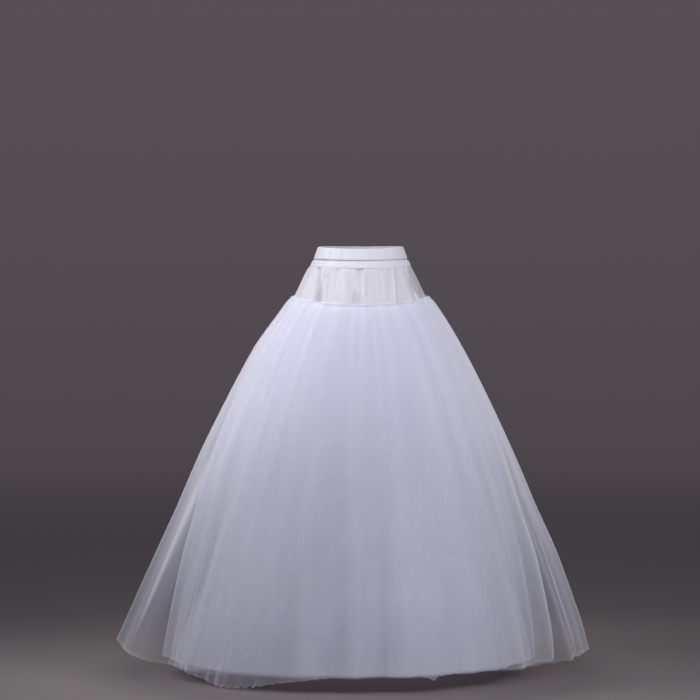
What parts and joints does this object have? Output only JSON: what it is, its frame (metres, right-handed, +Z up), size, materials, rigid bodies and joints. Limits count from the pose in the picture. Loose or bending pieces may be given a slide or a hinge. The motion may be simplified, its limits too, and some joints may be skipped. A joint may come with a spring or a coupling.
{
  "type": "hoopless tulle petticoat",
  "caption": "Floor-length A-line bridal petticoat: elastic waistband, gathered hip yoke, opaque lining with a net flounce, and layered sheer tulle skirts.",
  "frame": {"origin": "centre of the waist opening, level with the waistband's top edge at the back", "axes": "+Z up out of the waist, +X to the left of the wearer (right in the picture), front faces -Y"},
  "size_m": [1.2547, 1.1496, 1.1189],
  "materials": {
    "band_cloth": "white satin-faced cotton, softly shiny",
    "elastic": "matt ribbed white elastic",
    "tape_cloth": "white satin-faced cotton, folded tape",
    "yoke_cloth": "fine white polyester, slightly sheer",
    "lining_cloth": "smooth white taffeta",
    "stiff_net": "stiff white net",
    "tulle": "sheer white tulle with a faint lilac cast"
  },
  "bodies": {
    "root": {"waistband_casing": "band_cloth", "waist_elastic": "elastic", "stay_tape": "tape_cloth", "yoke_front": "yoke_cloth", "yoke_back": "yoke_cloth", "lining_left": "lining_cloth", "lining_back_left": "lining_cloth", "lining_back_right": "lining_cloth", "lining_right": "lining_cloth", "lining_front_right": "lining_cloth", "lining_front_left": "lining_cloth", "net_flounce": "stiff_net", "tulle_inner_front": "tulle", "tulle_inner_left": "tulle", "tulle_inner_back": "tulle", "tulle_inner_right": "tulle", "tulle_middle_front": "tulle", "tulle_middle_left": "tulle", "tulle_middle_back": "tulle", "tulle_middle_right": "tulle", "tulle_outer_front": "tulle", "tulle_outer_left": "tulle", "tulle_outer_back": "tulle", "tulle_outer_right": "tulle"}
  },
  "joints": []
}
